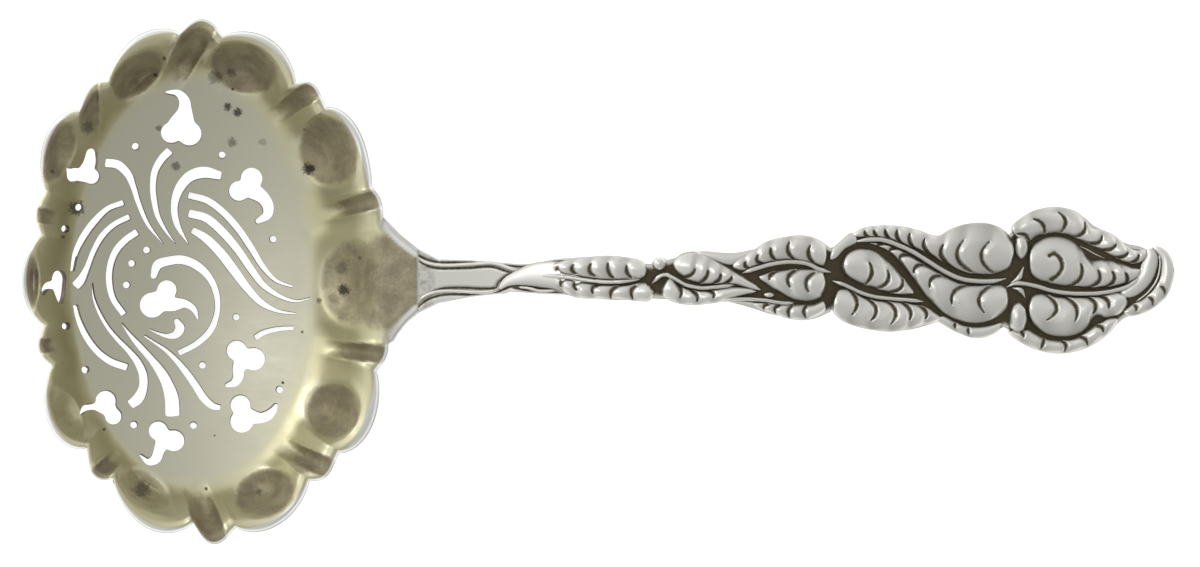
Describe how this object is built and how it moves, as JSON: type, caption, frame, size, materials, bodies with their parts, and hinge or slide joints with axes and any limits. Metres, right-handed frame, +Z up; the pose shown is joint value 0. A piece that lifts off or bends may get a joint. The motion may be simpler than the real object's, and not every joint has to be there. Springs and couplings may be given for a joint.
{
  "type": "sugar sifter spoon",
  "caption": "Silver sugar sifter spoon: fluted oval bowl pierced with scrolls and clover leaves, soldered to an arched handle with relief leaves and a curled tip.",
  "frame": {"origin": "middle of the foot of the bowl, on the table that the spoon lies on with its mouth up", "axes": "+X along the spoon towards the tip of the handle, +Y across it, +Z up out of the bowl's mouth"},
  "size_m": [0.1467, 0.0666, 0.0158],
  "materials": {
    "gilt_silver": "worn pale gilding over silver, tarnished in the hollows",
    "struck_silver": "bright silver with blackened recesses",
    "hard_solder": "dull hard solder"
  },
  "bodies": {
    "root": {"bowl": "gilt_silver", "handle": "struck_silver", "solder_seam": "hard_solder"}
  },
  "joints": []
}
